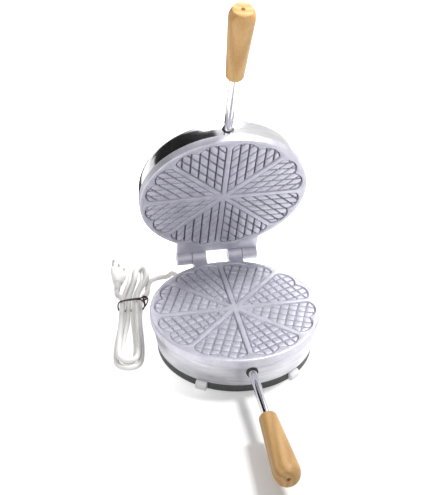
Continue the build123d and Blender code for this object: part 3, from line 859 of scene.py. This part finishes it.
def grip_stations(start, end, bore_end):
    """A grip's stations from its neck to its end, and back through hole and bore."""
    belly = end - dome_length
    taper = (belly_radius - neck_radius) / (belly - start)
    stations = [(start, 5.1)]
    stations += rounded((start, 5.1), (start, neck_radius), (belly, belly_radius), 2.4)
    stations += [(start + t, neck_radius + taper * t) for t in range(8, 78, 8)]
    for step in range(15):
        t = step / 14
        swell = taper * dome_length * t * (1 - t)
        stations.append((
            belly + dome_length * t,
            belly_radius + swell - (belly_radius - end_radius) * t ** 2.6,
        ))
    stations += [(end + 0.3, end_radius - 1.6), (end + 0.3, 2.4), (end - 0.2, 2.0)]
    stations += [(end - 3.6, 1.9), (end - 4, hole_radius), (bore_end + 0.1, hole_radius)]
    return stations + [(bore_end + 0.1, 5.1), (start, 5.1)]


bush_stations = profile(
    [(90, 5.1), (90, 8.4), (92.8, 8.4), (92.8, 6.9), (98.8, 6.9), (98.8, 5.1)],
    {1: 0.4, 2: 0.4, 4: 1.2},
) + [(90, 5.1)]
rods, bushes, grips, screws, grip_axes = [], [], [], [], []
for half, body, face in halves:
    start = grip_starts[half]
    end = start + grip_length
    bore_end = start + bore_length
    axis = face @ Matrix.Translation((0, 0, -rod_below_face * MM))
    axis = axis @ Matrix.Rotation(math.pi / 2, 4, "X")
    grip_axes.append(axis @ Matrix.Translation((0, 0, start * MM)))
    rods.append(turned(
        f"{half}_rod",
        [(64, 3.0), (64.3, 3.25), (88, 3.25), (88, 4.7), (88.3, rod_radius),
         (bore_end - 0.3, rod_radius), (bore_end, 4.7)],
        axis, body, "rod", [f"{half}_handle_rod"], steps=48,
    ))
    bushes.append(turned(
        f"{half}_bush", bush_stations, axis, body, "black", [f"{half}_handle_bush"], steps=64,
    ))
    grips.append(turned(
        f"{half}_grip", grip_stations(start, end, bore_end),
        axis, body, "beech", [f"{half}_handle_grip"], steps=96, sharp=50,
    ))
    screws.append(turned(
        f"{half}_screw",
        [(bore_end + 0.2, 0.9), (bore_end + 1, 1.6), (end - 3.2, 1.6), (end - 3, 1.3)],
        axis, body, "steel", [f"{half}_grip_screw"], steps=24,
    ))

# %% [markdown]
# The gland and the plug are mouldings that the solids already have, so softened copies of
# them are enough. The tie is a soft wire, twice round the waist of the hank and twisted at
# its right. Like the lead, it is one spline, in the hank's own axes.

# %% Gland, plug and tie
gland = softened("cord_gland", "gland", "base", edge=0.3 * MM)
plug = softened("plug_body", "plug", "base")
plug_contacts = softened("plug_pins", "plug_contacts", "base")

tie_radius = 0.85 * MM
tie_route = [
    (15.5, 1.5, 16.0), (17.5, 2.5, 12), (16.5, 1.5, 4), (13.5, 1, 0.9), (0, 0, 0.9),
    (-13.5, -1, 0.9), (-16.3, -1.5, 4), (-16.3, -2, 12), (-13.5, -2.2, 16.2), (0, -0.5, 17),
    (12.5, 1.5, 16.6), (16.6, 0.5, 12), (16.4, 0, 4), (13.5, -0.5, 0.9), (0, -1.8, 0.9),
    (-13.5, -3, 0.9), (-16.3, -3.2, 4), (-16.3, -3, 12), (-13.5, -2.5, 16.4), (0, 1.2, 17.2),
    (11.5, 1.8, 17.6), (17, 4.5, 17.5), (19.5, 3.5, 15.5), (18.5, 0, 16), (15, 0, 18.5),
    (14.5, 4, 19.5), (18.5, 6.2, 17.5), (21.5, 3, 15), (20, -2.5, 13), (17.5, -5.5, 10),
]
tie_places = [hank_place @ (Vector(place) * MM) for place in tie_route]
tie = cord_along("tie", tie_places, tie_radius, facets=4)
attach(tie, "base")
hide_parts("cord_tie")
print(f"tie: {tie.data.splines[0].calc_length() / MM:.0f} mm")

# %% [markdown]
# The small parts that show are copies too: the pan under the base, its four feet, the two
# hinge pins and two screws. Each gets an edge as wide as its kind has: moulded feet are
# rounder than turned steel.

# %% Small parts
small_parts = {
    "bottom_cover": ("pan", "base", 0.3),
    "foot_front_left": ("foot", "base", 0.5),
    "foot_front_right": ("foot", "base", 0.5),
    "foot_rear_left": ("foot", "base", 0.5),
    "foot_rear_right": ("foot", "base", 0.5),
    "hinge_pin_left": ("steel", "base", 0.2),
    "hinge_pin_right": ("steel", "base", 0.2),
    "lid_cap_screw": ("steel", "lid", 0.2),
    "bottom_screw": ("steel", "base", 0.2),
}
small = {
    node: softened(node, node + "_part", body, edge=width * MM)
    for node, (slot, body, width) in small_parts.items()
}
print(f"{len(small)} small parts")

# %% [markdown]

# %% [markdown]
# The cast plates are blasted aluminium: dull, a little uneven, with a fine grain that
# catches the light. Shade is painted into the relief: the metal gets darker with depth,
# down to the channels' floor, and only inside the ring that the hearts fill. The depth is
# the Z of the face's own axes, so a Mapping node turns the pattern onto each face.

# %% Cast metal
channel_depths = (-4.4 * MM, -2.2 * MM)
under_the_floor = (-5.2 * MM, -4.8 * MM)
edge_of_hearts = (95.5 * MM, 96.5 * MM)
painted_channel_shade = (0.10, 0.095, 0.11)


def cast_look(name, dark, pale, place, channel_shade_strength):
    """Blasted aluminium: mottled greys, a fine grain, and painted shade in the channels."""
    cast = started(name)
    axes = cast.add("ShaderNodeSeparateXYZ", None, {
        0: cast.object_point(place.translation, place.to_euler()),
    })
    depth = cast.value(axes.outputs[2])
    in_channel = 1 - cast.spread(depth, *channel_depths)
    on_face = cast.spread(depth, *under_the_floor)
    from_hub = (cast.value(axes.outputs[0]) ** 2 + cast.value(axes.outputs[1]) ** 2) ** 0.5
    on_face = on_face * (1 - cast.spread(from_hub, *edge_of_hearts))
    grain = cast.noise(cast.object_point(), 1500, 2.0, 0.6)
    mottle = cast.noise(cast.object_point(), 70, 3.0)
    speckle = cast.spread(grain * 0.7 + mottle * 0.3, 0.38, 0.62)
    colour = cast.mixed(speckle, dark, pale)
    # Painted shade: the metal turns darker with depth in the channels, where shade falls.
    colour = cast.mixed(in_channel * on_face * channel_shade_strength, colour, painted_channel_shade)
    roughness = cast.spread(grain, 0.3, 0.7, 0.38, 0.52)
    return finish(cast, colour, 0.55, roughness, cast.bump(grain, 0.35, 0.08 * MM))


# Both plates are the same metal: the lid's copy is painted darker, with far stronger painted shade
# in its channels.
cast_aluminium = cast_look(
    "cast_aluminium", (0.50, 0.495, 0.56), (0.72, 0.71, 0.79), base_face, channel_shade_strength=0.28,
)
shaded_lid_aluminium = cast_look(
    "shaded_lid_aluminium", (0.45, 0.445, 0.505), (0.66, 0.65, 0.73), lid_face, channel_shade_strength=0.85,
)
print("cast metal:", cast_aluminium.name, shaded_lid_aluminium.name)

# %% [markdown]
# The casings are spun and rubbed, so their streaks run round them: a noise that is squeezed
# along the casing's own axis does it. The rods and the screws are plated or plain steel,
# with faint marks from drawing.

# %% Spun and drawn metal
def rubbed_look(name, dark, pale, rough, place):
    """Spun metal: long streaks round the casing's own axis, and a few duller clouds."""
    spun = started(name)
    point = spun.object_point(place.translation, place.to_euler(), scale=(1, 1, 0.06))
    streaks = spun.noise(point, 30, 4.0, 0.6)
    clouds = spun.noise(spun.object_point(), 22, 3.0)
    tone = spun.spread(streaks * 0.5 + clouds * 0.5, 0.36, 0.64)
    roughness = spun.spread(clouds, 0.35, 0.65, rough, rough * 1.5)
    normal = spun.bump(streaks, 0.1, 0.05 * MM)
    return finish(spun, spun.mixed(tone, dark, pale), 1.0, roughness, normal)


def drawn_look(name, dark, pale, rough):
    """Plated or plain steel with faint marks."""
    drawn = started(name)
    marks = drawn.noise(drawn.object_point(scale=(1, 0.08, 1)), 260, 3.0)
    colour = drawn.mixed(drawn.spread(marks, 0.35, 0.65), dark, pale)
    return finish(drawn, colour, 1.0, drawn.spread(marks, 0.35, 0.65, rough, rough * 1.6))


# Both casings are the same spun metal: the base's darker greys are painted shade.
shaded_base_metal = rubbed_look("base_casing", (0.40, 0.40, 0.43), (0.68, 0.68, 0.71), 0.34, base_face)
lid_metal = rubbed_look("lid_casing", (0.62, 0.62, 0.64), (0.80, 0.80, 0.82), 0.13, lid_face)
plated = drawn_look("plated_rod", (0.66, 0.66, 0.68), (0.80, 0.80, 0.82), 0.07)
steel = drawn_look("steel", (0.48, 0.48, 0.50), (0.60, 0.60, 0.62), 0.28)
contacts = drawn_look("contacts", (0.44, 0.43, 0.42), (0.56, 0.55, 0.53), 0.25)
print("metals:", *[look.name for look in (shaded_base_metal, lid_metal, plated, steel, contacts)])

# %% [markdown]
# What is moulded or painted is even in tone, with a fine skin that only the light finds. One
# recipe with other colours and another gloss serves the bushes, the pan, the feet, the lead
# and the tie.

# %% Mouldings and paint
def moulded_look(name, dark, pale, rough):
    """A moulded or painted surface: hardly uneven in tone, with a fine skin."""
    skin = started(name)
    cloud = skin.noise(skin.object_point(), 300, 3.0)
    colour = skin.mixed(skin.spread(cloud, 0.35, 0.65), dark, pale)
    roughness = skin.spread(cloud, 0.35, 0.65, rough * 0.85, rough * 1.15)
    return finish(skin, colour, 0.0, roughness, skin.bump(cloud, 0.12, 0.05 * MM))


black = moulded_look("black_bush", (0.010, 0.010, 0.011), (0.022, 0.022, 0.023), 0.32)
pan = moulded_look("dark_pan", (0.050, 0.053, 0.050), (0.075, 0.079, 0.075), 0.55)
white_foot = moulded_look("white_foot", (0.90, 0.90, 0.91), (0.95, 0.95, 0.96), 0.4)
white_cord = moulded_look("white_cord", (0.84, 0.83, 0.80), (0.90, 0.89, 0.87), 0.42)
brown_tie = moulded_look("brown_tie", (0.028, 0.010, 0.006), (0.075, 0.030, 0.018), 0.5)
print("mouldings:", *[look.name for look in (black, pan, white_foot, white_cord, brown_tie)])

# %% [markdown]
# The grips are oiled beech. The tree's rings lie round a line beside the grip's own, so they
# come to the surface as slow bands. Fibres run along the grip, and short dark flecks, which tell
# beech from other pale woods, lie between them. All three are in the grip's own axes.

# %% Beech
def beech_look(name, place, ring_offset, painted_light_factor):
    """Oiled beech along a grip's own axis: slow rings, fine fibres, short flecks, and a factor of
    painted light or shade on the whole grip.
    """
    wood = started(name)
    turn = place.to_euler()
    lengthwise = wood.object_point(place.translation, turn, scale=(1, 1, 14))
    waver = wood.noise(lengthwise, 60, 2.0)
    axes = wood.add("ShaderNodeSeparateXYZ", None, {0: wood.object_point(place.translation, turn)})
    across, up_and_down, lengths = [wood.value(socket) for socket in axes.outputs]
    ring_x, ring_y = ring_offset
    from_heart = ((across + ring_x * MM) ** 2 + (up_and_down + ring_y * MM) ** 2) ** 0.5
    rings = ((from_heart * 900 + lengths * 34 + waver * 5).sine() + 1) * 0.5
    fibres = wood.noise(lengthwise, 900, 3.0, 0.65)
    flecks = wood.noise(wood.object_point(place.translation, turn, (1, 1, 5)), 1300, 1.0)
    tone = wood.spread(rings * 0.42 + fibres * 0.58, 0.2, 0.8)
    dark_wood, pale_wood, fleck_wood = [
        [painted_light_factor * part for part in colour]
        for colour in ((0.53, 0.285, 0.095), (0.72, 0.445, 0.175), (0.34, 0.165, 0.055))
    ]
    plain = wood.mixed(tone, dark_wood, pale_wood)
    fleck = wood.spread(flecks, 0.62, 0.72)
    colour = wood.mixed(fleck * 0.5, plain, fleck_wood)
    roughness = wood.spread(fibres, 0.3, 0.7, 0.42, 0.6)
    return finish(wood, colour, 0.0, roughness, wood.bump(fibres, 0.15, 0.06 * MM))


# Both grips are the same beech: the lower one is painted darker and the upper one lighter, as
# painted shade and painted light.
beeches = [
    beech_look("beech_lower_shaded", grip_axes[0], (14, 6), 0.8),
    beech_look("beech_upper_lit", grip_axes[1], (3, 17), 1.18),
]
print("beech:", *[look.name for look in beeches])

# %% [markdown]
# At last every piece gets its finish. The solids take the one of their material slot, and so
# do the pieces made here. The lid's casing, its plate and the upper grip then change to
# their own copies, which are lighter or darker than the base's by painted light and shade.

# %% Each piece its finish
def dress(piece, finish_of_piece):
    """Gives a piece one finish in place of any it had."""
    piece.data.materials.clear()
    piece.data.materials.append(finish_of_piece)


finishes = {
    "cast_plate": cast_aluminium, "casing": shaded_base_metal, "rod": plated, "steel": steel,
    "pan": pan, "beech": beeches[0], "black": black, "foot": white_foot, "white_lead": white_cord,
    "tie": brown_tie, "pin": contacts,
}
slot_of = {row["node"]: row["material_slot"] for row in frame["record"]["subparts"]}
for name, node in nodes.items():
    dress(node, finishes[slot_of[name]])
dressed = {
    "cast_plate": cooking_plates, "casing": [base_casing, lid_casing], "rod": rods,
    "black": bushes, "beech": grips, "white_lead": [lead, gland, plug], "pin": [plug_contacts],
    "tie": [tie], "steel": screws,
}
for slot, group in dressed.items():
    for piece in group:
        dress(piece, finishes[slot])
# Painted light and shade: the lid's copies are lighter or darker than the base's finishes of the
# same metal and wood.
lid_casing.data.materials[0] = lid_metal
cooking_plates[1].data.materials[0] = shaded_lid_aluminium
grips[1].data.materials[0] = beeches[1]
for node, piece in small.items():
    dress(piece, finishes[small_parts[node][0]])
print(f"{len(finishes)} finishes on {len(nodes)} solids and the pieces made here")
